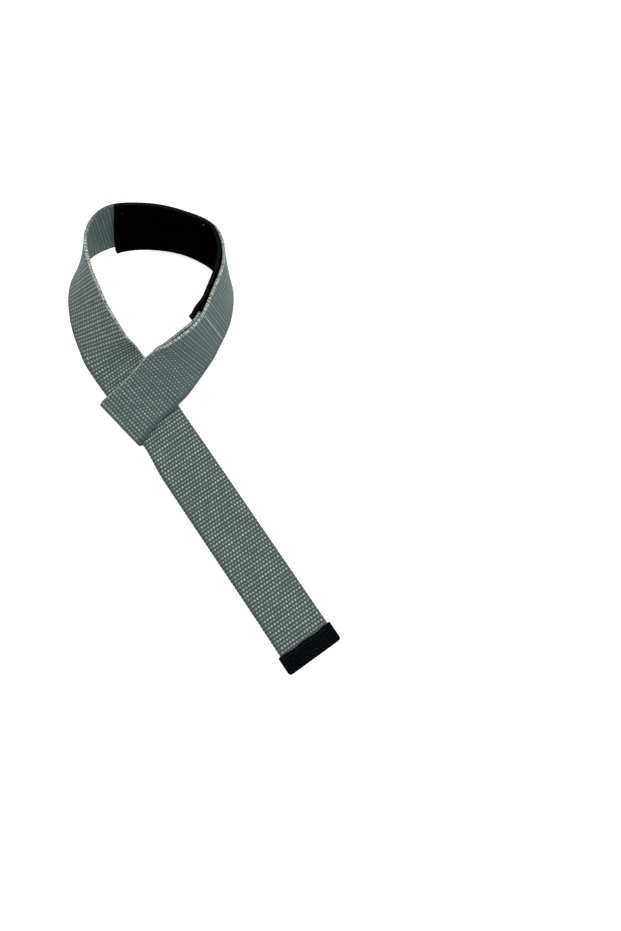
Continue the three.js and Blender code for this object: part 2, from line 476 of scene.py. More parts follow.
@dataclass(frozen=True)
class Outline:
    """The outline of a flat strip's section, which starts at the middle of its inner edge.

    Each point has its place across (from -1 to 1 of the half width past which it only rounds),
    its height and the share that the rounded edge takes of it.
    """

    across: np.ndarray
    rounding: np.ndarray
    height: np.ndarray
    share: np.ndarray

    @classmethod
    def strip(cls, half: float, flat_steps: int, corner: float, corner_steps: int, wall_steps: int,
              radius: float) -> "Outline":
        """The outline of a strip with rounded edges.

        Args:
            half: half of the thickness.
            flat_steps: steps across each flat face.
            corner: how far the rounding reaches in from the edge.
            corner_steps: steps round each corner.
            wall_steps: steps up the half wall between the corners, 0 for a full round.
            radius: the rounding's height, at most half.

        Returns:
            The outline as a closed ring.
        """
        angle = np.linspace(0, 0.5 * math.pi, corner_steps + 1)
        rise = np.linspace(0, half - radius, wall_steps + 1)[:-1] if wall_steps else np.zeros(0)
        rounding = np.concatenate([np.full(len(rise), corner), corner * np.cos(angle)])
        height = np.concatenate([rise, half - radius + radius * np.sin(angle)])
        share = np.concatenate([np.ones(len(rise)), np.cos(angle)])
        flats = np.linspace(1, -1, flat_steps + 1)[1:-1]
        across = np.concatenate([np.ones(len(height)), flats, -np.ones(len(height))])
        rounding = np.concatenate([rounding, np.zeros(len(flats)), -rounding[::-1]])
        height = np.concatenate([height, np.full(len(flats), half), height[::-1]])
        share = np.concatenate([share, np.zeros(len(flats)), share[::-1]])
        back = slice(-2, 0, -1)
        return cls(np.concatenate([across, across[back]]), np.concatenate([rounding, rounding[back]]),
                   np.concatenate([height, -height[back]]), np.concatenate([share, share[back]]))


def lofted(name: str, points: np.ndarray, place: np.ndarray) -> bpy.types.Object:
    """A closed body through rings of points.

    Args:
        name: the object's name.
        points: rings by points by three.
        place: the same shape, each point's place on the strap.

    Returns:
        The object, its ends closed by strips between its two faces.
    """
    rings, count, _ = points.shape
    index = np.arange(rings * count).reshape(rings, count)
    ahead = np.roll(index, -1, axis=1)
    walls = np.stack([index[:-1], index[1:], ahead[1:], ahead[:-1]], axis=-1).reshape(-1, 4)
    faces = walls.tolist()
    half = count // 2
    for ring, turned in ((index[0], False), (index[-1], True)):
        caps = [[ring[0], ring[1], ring[-1]], [ring[half - 1], ring[half], ring[half + 1]]]
        caps += [[ring[k], ring[k + 1], ring[count - k - 1], ring[count - k]] for k in range(1, half - 1)]
        faces += [[int(v) for v in (cap[::-1] if turned else cap)] for cap in caps]
    mesh = bpy.data.meshes.new(name)
    mesh.from_pydata(points.reshape(-1, 3).tolist(), [], faces)
    attribute = mesh.attributes.new(PLACE, "FLOAT_VECTOR", "POINT")
    attribute.data.foreach_set("vector", place.reshape(-1).astype(np.float32))
    mesh.validate()
    piece = bpy.data.objects.new(name, mesh)
    bpy.context.scene.collection.objects.link(piece)
    for polygon in mesh.polygons:
        polygon.use_smooth = True
    return piece


def linear(code: str) -> tuple[float, float, float, float]:
    """An sRGB hex value as a linear colour with full alpha."""
    channels = [int(code[k:k + 2], 16) / 255 for k in (1, 3, 5)]
    return (*(c / 12.92 if c <= 0.04045 else ((c + 0.055) / 1.055) ** 2.4 for c in channels), 1.0)


class Pattern:
    """A material with its nodes."""

    def __init__(self, name: str) -> None:
        """Makes the material, with only its shader and its output.

        Args:
            name: the material's name.
        """
        self.material = bpy.data.materials.new(name)
        self.material.use_nodes = True
        self.tree = self.material.node_tree

    def feed(self, node: bpy.types.Node, inputs: dict) -> None:
        """Sets or links inputs of a node.

        Args:
            node: the node.
            inputs: values or sockets, by the input's name or number.
        """
        for name, value in inputs.items():
            if isinstance(value, Socket):
                self.tree.links.new(value, node.inputs[name])
            else:
                node.inputs[name].default_value = value

    def shade(self, inputs: dict) -> bpy.types.Material:
        """Finishes the material.

        Args:
            inputs: values or sockets for the shader, by the input's name.

        Returns:
            The material.
        """
        self.feed(self.tree.nodes["Principled BSDF"], inputs)
        return self.material

    def add(self, kind: str, *values: Socket | float | tuple, output: int | str = 0,
            named: dict | None = None, **settings: str | bool) -> Socket:
        """Adds a node with its settings and links.

        Args:
            kind: the node's type name.
            values: numbers, colours or sockets for its first inputs.
            output: the output that is wanted, by number or name.
            named: values or sockets for other inputs, by name or number.
            settings: attributes of the node.

        Returns:
            The output's socket.
        """
        made = self.tree.nodes.new(kind)
        for name, setting in settings.items():
            setattr(made, name, setting)
        self.feed(made, {**dict(enumerate(values)), **(named or {})})
        return made.outputs[output]

    def wave(self, value: Socket, pitch: float, phase: float = 0.0, power: float = 1.0) -> Socket:
        """Crests from 0 to 1 that repeat at a pitch, narrower with a higher power.

        Args:
            value: the place along the wave, in metres.
            pitch: the distance between crests, in metres.
            phase: where the crests are, as a share of the pitch.
            power: sharpens the crests.

        Returns:
            The wave's socket.
        """
        turned = self.add(MATH, value, FULL_TURN / pitch, -FULL_TURN * phase, operation="MULTIPLY_ADD")
        raised = self.add(MATH, self.add(MATH, turned, operation="COSINE"), 0.5, 0.5,
                          operation="MULTIPLY_ADD")
        return self.add(MATH, raised, power, operation="POWER")


class StrapPattern(Pattern):
    """A material that follows the strap, by each point's place on it."""

    def __init__(self, name: str) -> None:
        """Makes the material and reads the place from the piece's attribute.

        Args:
            name: the material's name.
        """
        super().__init__(name)
        self.place = self.add("ShaderNodeAttribute", output="Vector", attribute_name=PLACE)
        self.across = self.add("ShaderNodeSeparateXYZ", self.place, output="X")
        self.distance = self.add("ShaderNodeSeparateXYZ", self.place, output="Y")
        self.edge = self.add("ShaderNodeSeparateXYZ", self.place, output="Z")

    def lot(self, x: Socket, y: Socket, pitch: tuple[float, float], phase: tuple[float, float]) -> Socket:
        """A different number from 0 to 1 for each cell of a grid.

        Args:
            x: the place across, in metres.
            y: the place along, in metres.
            pitch: the cell's two sides, in metres.
            phase: where the cells' middles are, as shares of the sides.

        Returns:
            The number's socket.
        """
        cells = []
        for value, side, middle in ((x, pitch[0], phase[0]), (y, pitch[1], phase[1])):
            counted = self.add(MATH, value, 1 / side, 0.5 - middle, operation="MULTIPLY_ADD")
            cells.append(self.add(MATH, counted, operation="FLOOR"))
        corner = self.add("ShaderNodeCombineXYZ", *cells)
        return self.add("ShaderNodeTexWhiteNoise", corner, noise_dimensions="3D")

    def grain(self, scale: float, stretch: tuple[float, float, float] = (1, 1, 1),
              detail: float = 2.0) -> Socket:
        """Soft noise, the whole edge share counting as 1 mm.

        Args:
            scale: the number of spots in a metre.
            stretch: multiplies the scale across, along and over the edge.
            detail: the octaves of finer noise.

        Returns:
            The noise's socket.
        """
        scales = (stretch[0], stretch[1], stretch[2] * MM)
        mapped = self.add("ShaderNodeMapping", self.place, named={"Scale": scales})
        return self.add("ShaderNodeTexNoise", named={
            "Vector": mapped, "Scale": scale, "Detail": detail, "Roughness": 0.55})


@dataclass(frozen=True)
class WeaveSizes:
    """The webbing's weave, in metres, measured on the photographed webbing.

    Rows of strong floats alternate with rows of weak ones, about half a pitch to the side.
    """

    pitch: float = 2.24 * MM  # between floats across the webbing
    row_period: float = 5.05 * MM  # from one row of strong floats to the next
    first: float = 0.44  # the strong floats' place across, as a share of the pitch
    offset: float = 0.58  # the weak floats' place after the strong ones, as a share of the pitch
    border: float = 2.4 * MM  # plain strip along the outer edge
    edge_reach: float = 1 * MM  # how far the round selvedge reaches in
    crown: float = 0.1 * MM
    weak_crown: float = 0.06 * MM
    rib: float = 0.1 * MM
    rope: float = 0.3 * MM
    flat_steps: int = 64

    @property
    def rope_pitch(self) -> float:
        """Distance between the loops that the weft makes at the selvedge."""
        return 0.5 * self.row_period

    @property
    def depth(self) -> float:
        """How far the weave's valleys lie under its crowns."""
        return self.crown + self.rib


@dataclass(frozen=True)
class Shift:
    """A gradual change of a finish between two places on the strap, as shares of the loop."""

    start: float
    end: float
    by: float


@dataclass(frozen=True)
class FloatLook:
    """How the floats of one row look."""

    sharpness: float  # how narrow they are across the webbing
    least: float  # the paleness of the dullest one
    spread: float  # how much paler the brightest one is


@dataclass(frozen=True)
class WebbingFinish:
    """Heavy cotton-polyester webbing, shuttleless woven.

    The eye sees matt pale floats in staggered rows, each a little different, on grey-green ribs
    with dark lines between them, and a cream selvedge along one edge.
    """

    sizes: StrapSizes
    weave: WeaveSizes
    float_yarn: str = "#c8d6ce"
    rib_yarn: str = "#6c7b79"
    gap: str = "#2c3838"
    selvedge: str = "#ccd9c9"
    selvedge_gap: str = "#4a574f"
    selvedge_width: float = 1.15 * MM
    selvedge_blur: tuple[float, float] = (0.1 * MM, 0.2 * MM)
    border_blur: tuple[float, float] = (0.2 * MM, 0.2 * MM)
    roughness: float = 0.88
    specular: float = 0.2
    sheen: float = 0.08
    sheen_roughness: float = 0.5
    # The floats wander from straight rows, by shares of their pitches, and differ in brightness.
    strong: FloatLook = FloatLook(sharpness=2.6, least=0.62, spread=0.72)
    weak: FloatLook = FloatLook(sharpness=3.2, least=0.3, spread=0.6)
    row_sharpness: float = 6.0
    weak_relief: float = 0.7
    wander: tuple[float, float] = (0.5, 0.2)
    wander_grain: tuple[float, float] = (150, 110)
    # The ribs' tone between the dark gaps, and what fibres and wear add to it.
    rib_sharpness: float = 1.3
    rib_level: float = 0.2
    rib_contrast: float = 0.6
    rib_fading: float = -0.25
    fibre_contrast: float = 0.5
    fibre_grain: float = 2200
    fibre_stretch: tuple[float, float, float] = (1, 0.3, 1)
    # The plain border's streaks, soft patches all over, and how the hue follows the strength.
    streak_pitch: float = 0.9 * MM
    streak_sharpness: float = 2.0
    streak_depth: float = -0.3
    patch_grain: float = 40
    patch_contrast: float = 0.34
    patch_level: float = 0.83
    hue_level: float = 0.48
    hue_drift: float = 0.02
    # The weave's relief that the mesh is too coarse for.
    rib_relief: float = 0.4
    fibre_relief: float = 0.3
    bump: float = 0.5
    bump_depth: float = 0.25 * MM
    # The selvedge's strands and how unevenly they show.
    strand_share: float = 0.6
    strand_contrast: float = 0.9
    wear_grain: float = 1000
    wear_contrast: float = 3.0
    wear_level: float = -1.45
    # How the webbing changes on the way from the tail, round the loop and through the fold: how pale
    # the floats are, lower round the loop and on the band, partly as painted shade on its leaning
    # faces; how strong the colour is, which also turns the hue, a painted warm and cool cast of the
    # light; and how much of the selvedge's cream shows.
    paleness: tuple[Shift, ...] = (Shift(0, 0.21, -0.34), Shift(0.24, 0.4, -0.33), Shift(0.84, 1, 0.35))
    strength: tuple[Shift, ...] = (Shift(0.06, 0.2, -0.25), Shift(0.24, 0.4, 0.6), Shift(0.84, 1, -0.35))
    cream: tuple[Shift, ...] = (Shift(0, 0.05, 1), Shift(0.32, 0.38, -1), Shift(0.58, 0.64, 1),
                                Shift(1.053, 1.06, -0.4))

    def material(self) -> bpy.types.Material:
        """The webbing's material.

        Returns:
            The material.
        """
        p = StrapPattern("woven_webbing")
        dots, relief = self._floats(p)
        ribs = p.wave(p.distance, 0.5 * self.weave.row_period, power=self.rib_sharpness)
        fibres = p.grain(self.fibre_grain, self.fibre_stretch)
        # The floats' paleness along the strap: lower round the loop and on the band, partly painted
        # shade.
        paleness_and_shade = self._shifted(p, 1.0, self.paleness)
        contrast = p.add(MATH, paleness_and_shade, self.rib_contrast, operation="MULTIPLY")
        level = p.add(MATH, paleness_and_shade, self.rib_fading, self.rib_level, operation="MULTIPLY_ADD")
        ground = p.add(MATH, ribs, contrast, level, operation="MULTIPLY_ADD")
        ground = p.add(MATH, fibres, self.fibre_contrast, ground, operation="MULTIPLY_ADD")
        plain = self._within(p, Edge.OUTER, self.weave.border, self.border_blur)
        dots = p.add(MATH, dots, paleness_and_shade, operation="MULTIPLY")
        dots = p.add(MATH, dots, p.add(MATH, 1.0, plain, operation="SUBTRACT"), operation="MULTIPLY")
        colour = p.add(**BLEND, named={
            "Factor": ground, BASE: linear(self.gap), TOP: linear(self.rib_yarn)})
        colour = p.add(**BLEND, named={"Factor": dots, BASE: colour, TOP: linear(self.float_yarn)})
        streaks = p.wave(p.across, self.streak_pitch, power=self.streak_sharpness)
        streaks = p.add(MATH, streaks, self.streak_depth, operation="MULTIPLY")
        tone = p.add(MATH, p.grain(self.patch_grain, detail=3), self.patch_contrast, self.patch_level,
                     operation="MULTIPLY_ADD")
        tone = p.add(MATH, streaks, plain, tone, operation="MULTIPLY_ADD")
        # Colour strength along the strap, which also turns the hue: a painted warm and cool cast of the
        # light.
        strength = self._shifted(p, 1.0, self.strength)
        hue = p.add(MATH, strength, self.hue_drift, self.hue_level, operation="MULTIPLY_ADD")
        colour = p.add("ShaderNodeHueSaturation", named={
            "Hue": hue, "Saturation": strength, "Value": tone, "Color": colour}, output="Color")
        cream, strands = self._selvedge(p)
        colour = p.add(**BLEND, named={"Factor": cream, BASE: colour, TOP: strands})
        height = p.add(MATH, ribs, self.rib_relief, relief, operation="MULTIPLY_ADD")
        height = p.add(MATH, fibres, self.fibre_relief, height, operation="MULTIPLY_ADD")
        bump = p.add("ShaderNodeBump", output="Normal", named={
            "Strength": self.bump, "Distance": self.bump_depth, "Height": height})
        return p.shade({"Base Color": colour, "Normal": bump, "Roughness": self.roughness,
                        "Specular IOR Level": self.specular, "Sheen Weight": self.sheen,
                        "Sheen Roughness": self.sheen_roughness})

    def _floats(self, p: StrapPattern) -> tuple[Socket, Socket]:
        """The floats' colour share and their relief.

        Args:
            p: the material's nodes.

        Returns:
            The share of the floats' colour, each float with its own, and their height.
        """
        weave = self.weave
        cell = (weave.pitch, weave.row_period)
        moved = []
        for place, side, share, grain in zip((p.across, p.distance), cell, self.wander,
                                             self.wander_grain):
            reach = share * side
            drift = p.add(MATH, p.grain(grain), reach, -0.5 * reach, operation="MULTIPLY_ADD")
            moved.append(p.add(MATH, place, drift, operation="ADD"))
        rows = ((self.strong, (weave.first, 0.0)), (self.weak, (weave.first + weave.offset, 0.5)))
        shares = []
        heights = []
        for look, phase in rows:
            spot = p.add(MATH, p.wave(moved[0], cell[0], phase[0], look.sharpness),
                         p.wave(moved[1], cell[1], phase[1], self.row_sharpness), operation="MULTIPLY")
            heights.append(spot)
            lot = p.lot(*moved, cell, phase)
            paleness = p.add(MATH, lot, look.spread, look.least, operation="MULTIPLY_ADD")
            shares.append(p.add(MATH, spot, paleness, operation="MULTIPLY"))
        relief = p.add(MATH, heights[1], self.weak_relief, heights[0], operation="MULTIPLY_ADD")
        return p.add(MATH, *shares, operation="ADD"), relief

    def _within(self, p: StrapPattern, edge: Edge, width: float, blur: tuple[float, float]) -> Socket:
        """The share of a strip along one edge.

        Args:
            p: the material's nodes.
            edge: the edge.
            width: the strip's width, in metres.
            blur: how far its border blurs to each side, in metres.

        Returns:
            1 on the strip, 0 elsewhere.
        """
        start = 0.5 * self.sizes.webbing_width - width
        towards = p.add(MATH, p.across, float(edge.value), operation="MULTIPLY")
        return p.add("ShaderNodeMapRange", towards, named={
            "From Min": start - blur[0], "From Max": start + blur[1]})

    def _shifted(self, p: StrapPattern, first: float, shifts: tuple[Shift, ...]) -> Socket:
        """A share that changes along the strap.

        Args:
            p: the material's nodes.
            first: the share on the tail.
            shifts: the changes, from the tail on.

        Returns:
            The share's socket.
        """
        total = first
        for shift in shifts:
            change = p.add("ShaderNodeMapRange", p.distance, named={
                "From Min": self.sizes.tail_length + shift.start * self.sizes.loop_length,
                "From Max": self.sizes.tail_length + shift.end * self.sizes.loop_length,
                "To Max": shift.by})
            total = p.add(MATH, change, total, operation="ADD")
        return total

    def _selvedge(self, p: StrapPattern) -> tuple[Socket, Socket]:
        """The cream selvedge of the inner edge, which has greyed on the tail.

        Args:
            p: the material's nodes.

        Returns:
            Its share and its colour.
        """
        share = self._within(p, Edge.INNER, self.selvedge_width, self.selvedge_blur)
        fresh = self._shifted(p, 0.0, self.cream)
        twist = p.add(MATH, p.edge, 0.5 * self.weave.rope_pitch, p.distance, operation="MULTIPLY_ADD")
        strand = p.wave(twist, self.strand_share * self.weave.rope_pitch)
        worn = p.add(MATH, strand, self.strand_contrast, self.wear_level, operation="MULTIPLY_ADD")
        worn = p.add(MATH, p.grain(self.wear_grain, detail=0), self.wear_contrast, worn,
                     operation="MULTIPLY_ADD")
        cream = p.add(**BLEND, named={
            "Factor": worn, BASE: linear(self.selvedge_gap), TOP: linear(self.selvedge)})
        grey = p.add(**BLEND, named={
            "Factor": strand, BASE: linear(self.gap), TOP: linear(self.rib_yarn)})
        return share, p.add(**BLEND, named={"Factor": fresh, BASE: grey, TOP: cream})


@dataclass(frozen=True)
class Speck:
    """A speck of lint on the pad."""

    across: float
    share: float  # of the pad's length, from its first end
    strength: float


@dataclass(frozen=True)
class PadFinish:
    """Neoprene foam laminated with black jersey.

    The eye sees near-black matt faces with a faint knit and a few specks of lint, and a charcoal
    rim where the foam shows at the cut edges, its grey partly a painted highlight.
    """

    sizes: StrapSizes
    jersey: str = "#010102"
    loop: str = "#040506"
    foam: str = "#1f2124"
    # The foam's cut edge: its own charcoal, partly a painted highlight.
    lint: str = "#a9b0ad"
    knit_pitch: float = 0.9 * MM  # coarser than the real 0.5 mm, so that it shows
    lint_size: float = 0.8 * MM
    specks: tuple[Speck, ...] = (Speck(across=18.5 * MM, share=0.47, strength=0.6),
                                 Speck(across=14.5 * MM, share=0.083, strength=0.12),
                                 Speck(across=13.5 * MM, share=0.32, strength=0.05))
    roughness: float = 0.95
    foam_grain: float = 1800
    foam_from: float = 0.75  # the edge shares between which the jersey gives way to the foam
    foam_to: float = 0.95
    foam_relief: float = 0.5
    bump: float = 0.4
    bump_depth: float = 0.1 * MM

    def material(self) -> bpy.types.Material:
        """The pad's material.

        Returns:
            The material.
        """
        p = StrapPattern("laminated_neoprene")
        stitch = p.add(MATH, p.wave(p.across, self.knit_pitch), p.wave(p.distance, self.knit_pitch),
                       operation="MULTIPLY")
        grain = p.grain(self.foam_grain)
        cut = p.add("ShaderNodeMapRange", p.edge, named={
            "From Min": self.foam_from, "From Max": self.foam_to})
        face = p.add(**BLEND, named={"Factor": stitch, BASE: linear(self.jersey), TOP: linear(self.loop)})
        # The charcoal foam rim, partly a painted highlight.
        foam = p.add(**BLEND, named={"Factor": grain, BASE: linear(self.loop), TOP: linear(self.foam)})
        colour = p.add(**BLEND, named={"Factor": cut, BASE: face, TOP: foam})
        colour = p.add(**BLEND, named={"Factor": self._lint(p), BASE: colour, TOP: linear(self.lint)})
        height = p.add(MATH, grain, self.foam_relief, stitch, operation="MULTIPLY_ADD")
        bump = p.add("ShaderNodeBump", output="Normal", named={
            "Strength": self.bump, "Distance": self.bump_depth, "Height": height})
        return p.shade({"Base Color": colour, "Normal": bump, "Roughness": self.roughness,
                        "Specular IOR Level": 0.0})

    def _lint(self, p: StrapPattern) -> Socket:
        """The share of lint: none but on its few specks.

        Args:
            p: the material's nodes.

        Returns:
            The share's socket.
        """
        total = 0.0
        for speck in self.specks:
            along = self.sizes.pad_start + speck.share * self.sizes.pad_length
            centre = (speck.across, along, 0.0)
            away = p.add("ShaderNodeVectorMath", p.place, centre, operation="DISTANCE", output="Value")
            spot = p.add("ShaderNodeMapRange", away, named={
                "From Max": self.lint_size, "To Min": speck.strength, "To Max": 0.0})
            total = p.add(MATH, spot, total, operation="ADD")
        return total


@dataclass(frozen=True)
class TapeFinish:
    """Black polyester twill tape: matt, with faint slanting rows of raised yarns."""

    yarn: str = "#2b2f38"
    gap: str = "#020203"
    row_pitch: float = 1.5 * MM
    dot_pitch: float = 1.1 * MM
    slant: float = 0.3  # how far a row climbs for each metre across
    row_sharpness: float = 1.6
    yarn_grain: float = 700  # the yarns' uneven brightness
    yarn_contrast: float = 2.4
    yarn_level: float = -0.5
    roughness: float = 0.85
    bump: float = 0.6
    bump_depth: float = 0.15 * MM

    def material(self) -> bpy.types.Material:
        """The binding tape's material.

        Returns:
            The material.
        """
        p = StrapPattern("twill_tape")
        y = p.add(MATH, p.across, self.slant, p.distance, operation="MULTIPLY_ADD")
        dots = p.add(MATH, p.wave(p.across, self.dot_pitch),
                     p.wave(y, self.row_pitch, power=self.row_sharpness), operation="MULTIPLY")
        uneven = p.add(MATH, p.grain(self.yarn_grain), self.yarn_contrast, self.yarn_level,
                       operation="MULTIPLY_ADD")
        level = p.add(MATH, dots, uneven, operation="MULTIPLY")
        colour = p.add(**BLEND, named={"Factor": level, BASE: linear(self.gap), TOP: linear(self.yarn)})
        bump = p.add("ShaderNodeBump", output="Normal", named={
            "Strength": self.bump, "Distance": self.bump_depth, "Height": dots})
        return p.shade({"Base Color": colour, "Normal": bump, "Roughness": self.roughness,
                        "Specular IOR Level": 0.0})


@dataclass(frozen=True)
class ThreadFinish:
    """Spun polyester sewing thread: matt, a single colour with a fine twist."""

    name: str
    light: str
    dark: str
    twist_pitch: float = 0.6 * MM
    twist_way: tuple[float, float, float] = (0.6, 0.64, 0.48)  # askew to both rows of stitches
    roughness: float = 0.8
    specular: float = 0.2

    def material(self) -> bpy.types.Material:
        """The thread's material, its twist across each stitch.

        Returns:
            The material.
        """
        p = Pattern(self.name)
        own = p.add("ShaderNodeTexCoord", output="Object")
        split = p.add("ShaderNodeVectorMath", own, self.twist_way, operation="DOT_PRODUCT",
                      output="Value")
        colour = p.add(**BLEND, named={
            "Factor": p.wave(split, self.twist_pitch), BASE: linear(self.dark), TOP: linear(self.light)})
        return p.shade({"Base Color": colour, "Roughness": self.roughness,
                        "Specular IOR Level": self.specular})


@dataclass(frozen=True)
class FloorFinish:
    """A white acrylic light table, which glows evenly and takes only faint shadows."""

    acrylic: str = "#f4f4f4"
    glow: float = 0.6
    roughness: float = 0.95

    def material(self) -> bpy.types.Material:
        """The floor's material."""
        return Pattern("light_table_acrylic").shade({
            "Base Color": linear(self.acrylic), "Roughness": self.roughness, "Specular IOR Level": 0.0,
            "Emission Color": (1, 1, 1, 1), "Emission Strength": self.glow})


@dataclass
class Webbing:
    """The webbing: tail, wrist loop, band, fold and turned-back layer, woven in relief."""

    path: StrapPath
    weave: WeaveSizes
    finish: WebbingFinish
    steps_per_row: int = 4
    corner_steps: int = 3
    fold_steps: int = 6

    def sections(self) -> Sections:
        """Follows the webbing from the tip to the cut end of the turned-back layer.

        Returns:
            All its sections.
        """
        path = self.path
        sizes = path.sizes
        step = self.weave.row_period / self.steps_per_row
        over_count = round(sizes.fold_along / step)
        over = path.sections(np.linspace(0, sizes.fold_along, over_count + 1))
        under_count = round(sizes.turnback_length / step)
        under = path.turnback(np.linspace(sizes.fold_along, sizes.turnback_end, under_count + 1))
        radius = 0.5 * (over.at[-1, 2] - under.at[0, 2])
        pivot = 0.5 * (over.at[-1] + under.at[0])
        at, face = half_turn(pivot, path.band_way, radius, self.fold_steps)
        arc = math.pi * radius
        turned = np.linspace(0, arc, self.fold_steps + 1)[1:-1]
        across, inner, outer = (np.repeat(values[-1:], len(turned), axis=0)
                                for values in (over.across, over.inner, over.outer))
        fold = Sections(sizes.fold_along + turned, at[1:-1], across, face[1:-1], inner, outer)
        under.distance = under.distance + arc
        return over.joined(fold, under)

    def relief(self, across: np.ndarray, distance: np.ndarray) -> np.ndarray:
        """Depth of the weave's surface under its crowns.

        Args:
            across: places across, in metres.
            distance: distances from the tip, in metres.

        Returns:
            Heights, 0 at a crown and negative in the valleys.
        """
        weave = self.weave
        x = FULL_TURN * (across / weave.pitch - weave.first)
        y = FULL_TURN * distance / weave.row_period
        strong = (1 + np.cos(x)) * (1 + np.cos(y)) / 4
        weak = (1 + np.cos(x - FULL_TURN * weave.offset)) * (1 - np.cos(y)) / 4
        rib = (1 + np.cos(2 * y)) / 2
        return weave.crown * strong + weave.weak_crown * weak + weave.rib * rib - weave.depth

    def build(self) -> bpy.types.Object:
        """Builds the webbing's mesh.

        Returns:
            The object.
        """
        sizes = self.path.sizes
        weave = self.weave
        half = 0.5 * sizes.webbing_thickness
        outline = Outline.strip(half, weave.flat_steps, weave.edge_reach, self.corner_steps, 0, half)
        run = self.sections()
        flat_half = 0.5 * sizes.webbing_width - weave.edge_reach
        across = outline.across * flat_half + outline.rounding
        place_across = np.broadcast_to(across, (len(run.distance), len(across)))
        distance = np.broadcast_to(run.distance[:, None], place_across.shape)
        flat = self.relief(place_across, distance) * (1 - outline.share)
        turn = distance / weave.rope_pitch + 0.5 * outline.share
        rope = -weave.rope * (0.5 - 0.5 * np.cos(FULL_TURN * turn)) * outline.share
        stretch = (run.inner + run.outer)[:, None] / sizes.webbing_width
        shift = 0.5 * (run.inner - run.outer)[:, None]
        t = across * stretch + shift + rope * np.sign(outline.across)
        z = outline.height + flat * np.sign(outline.height)
        points = run.at[:, None] + run.across[:, None] * t[..., None] + run.face[:, None] * z[..., None]
        share = np.broadcast_to(outline.share, place_across.shape)
        piece = lofted("webbing_woven", points, np.stack([place_across, distance, share], axis=-1))
        piece.data.materials.append(self.finish.material())
        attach(piece, "root")
        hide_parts("webbing")
        return piece


@dataclass
class WristPad:
    """The pad on the loop's inner face, stepped over the end of the turned-back layer."""

    path: StrapPath
    finish: PadFinish
    ring_step: float = 1.5 * MM
    flat_steps: int = 28
    corner: float = 0.6 * MM
    corner_steps: int = 3
    wall_steps: int = 2
    seam_inset: float = 6 * MM
    seam_depth: float = 0.35 * MM
    seam_reach: float = 1.2 * MM

    def _skewed(self, along: np.ndarray, across: np.ndarray, reach: float) -> np.ndarray:
        """Distances of the pad's points, whose first end is cut askew.

        Args:
            along: a distance for each ring.
            across: a place across for each point of a ring.
            reach: the pad's half width.

        Returns:
            Rings by points, further along towards the inner edge at the first end.
        """
        skew = self.path.sizes.pad_skew * self._slant(along)
        return along[:, None] + skew[:, None] * (0.5 + 0.5 * across / reach)

    def _slant(self, along: np.ndarray) -> np.ndarray:
        """How much the sections slant: 1 at the end that is cut askew, 0 past its reach."""
        sizes = self.path.sizes
        return 1 - smooth(along, sizes.pad_start, sizes.pad_start + sizes.skew_reach)

    def build(self) -> bpy.types.Object:
        """Builds the pad's mesh.

        Returns:
            The object.
        """
        sizes = self.path.sizes
        half = 0.5 * sizes.pad_thickness
        reach = 0.5 * sizes.webbing_width + sizes.pad_overhang
        outline = Outline.strip(half, self.flat_steps, self.corner, self.corner_steps, self.wall_steps,
                                self.corner)
        across = outline.across * (reach - self.corner) + outline.rounding
        count = round(sizes.pad_length / self.ring_step)
        rings = np.linspace(sizes.pad_start, sizes.pad_end, count + 1)
        along = self._skewed(rings, across, reach)
        run = self.path.sections(along.reshape(-1))
        climb_end = sizes.turnback_end - sizes.clearance
        climb = smooth(along, climb_end - sizes.pad_step, climb_end) * sizes.layer
        climb = climb + sizes.skew_gap * self._slant(rings)[:, None]
        dent = np.zeros(along.shape)
        first_seam = self._skewed(np.array([sizes.pad_start + self.seam_inset]), across, reach)
        last_seam = sizes.turnback_end + 0.5 * sizes.pad_lap
        for seam in (first_seam, last_seam):
            dent += self.seam_depth * np.exp(-(((along - seam) / self.seam_reach) ** 2))
        base = 0.5 * sizes.webbing_thickness + sizes.clearance + half
        height = outline.height + dent * (outline.height < 0) - base - climb
        taper = sizes.pad_taper * smooth(rings, sizes.pad_end - sizes.taper_reach, sizes.pad_end)
        t = across - taper[:, None] * np.maximum(across, 0) / reach
        points = run.at + run.across * t.reshape(-1, 1) + run.face * height.reshape(-1, 1)
        share = np.broadcast_to(outline.share, along.shape)
        place = np.stack([t, along, share], axis=-1)
        piece = lofted("wrist_pad_foam", points.reshape(*along.shape, 3), place)
        piece.data.materials.append(self.finish.material())
        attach(piece, "root")
        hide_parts("wrist_pad")
        return piece


